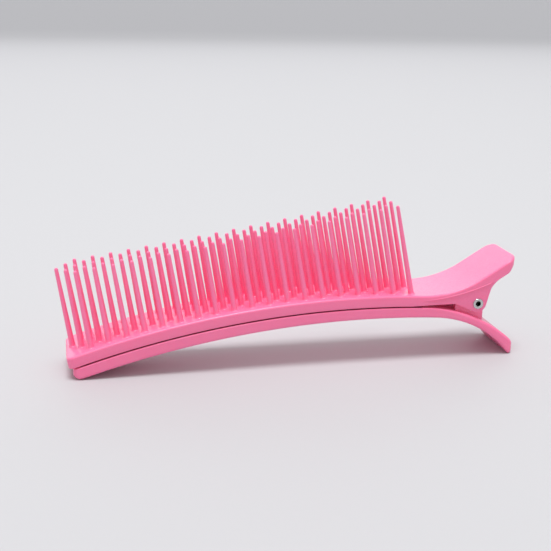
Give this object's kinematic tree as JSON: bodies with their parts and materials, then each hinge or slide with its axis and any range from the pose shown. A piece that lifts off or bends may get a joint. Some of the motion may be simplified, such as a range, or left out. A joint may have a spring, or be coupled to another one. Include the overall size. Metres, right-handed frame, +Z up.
{
  "type": "sectioning clip",
  "caption": "Sprung hair sectioning clip: two arched jaws on a tubular rivet, thumb tab and tail, and a comb of long parallel pins on the upper jaw.",
  "frame": {"origin": "on the ground under the middle of the clip as it stands on its nose and its tail", "axes": "+X from the nose to the finger tabs along the clip, +Y across it along the rivet, +Z up along the comb's side"},
  "size_m": [0.1436, 0.0204, 0.0494],
  "materials": {
    "pink_plastic": "glossy moulded plastic",
    "rivet_steel": "bright nickel plate",
    "spring_steel": "drawn spring wire"
  },
  "bodies": {
    "lower_arm": {"lower_arm": "pink_plastic", "torsion_spring": "spring_steel"},
    "upper_arm": {"upper_arm": "pink_plastic", "hinge_rivet": "rivet_steel", "pin_row_1": "pink_plastic", "pin_row_2": "pink_plastic", "pin_row_3": "pink_plastic", "pin_row_4": "pink_plastic", "pin_row_5": "pink_plastic"}
  },
  "joints": [
    {"name": "jaw_hinge", "type": "hinge", "parent": "lower_arm", "child": "upper_arm", "pos_m": [0.0586, 0, 0.0175], "axis": [0, 1, 0], "range_deg": [0, 45], "stiffness_Nm_per_rad": 0.12, "springref_deg": -34.38, "deforming": ["torsion_spring"]}
  ]
}
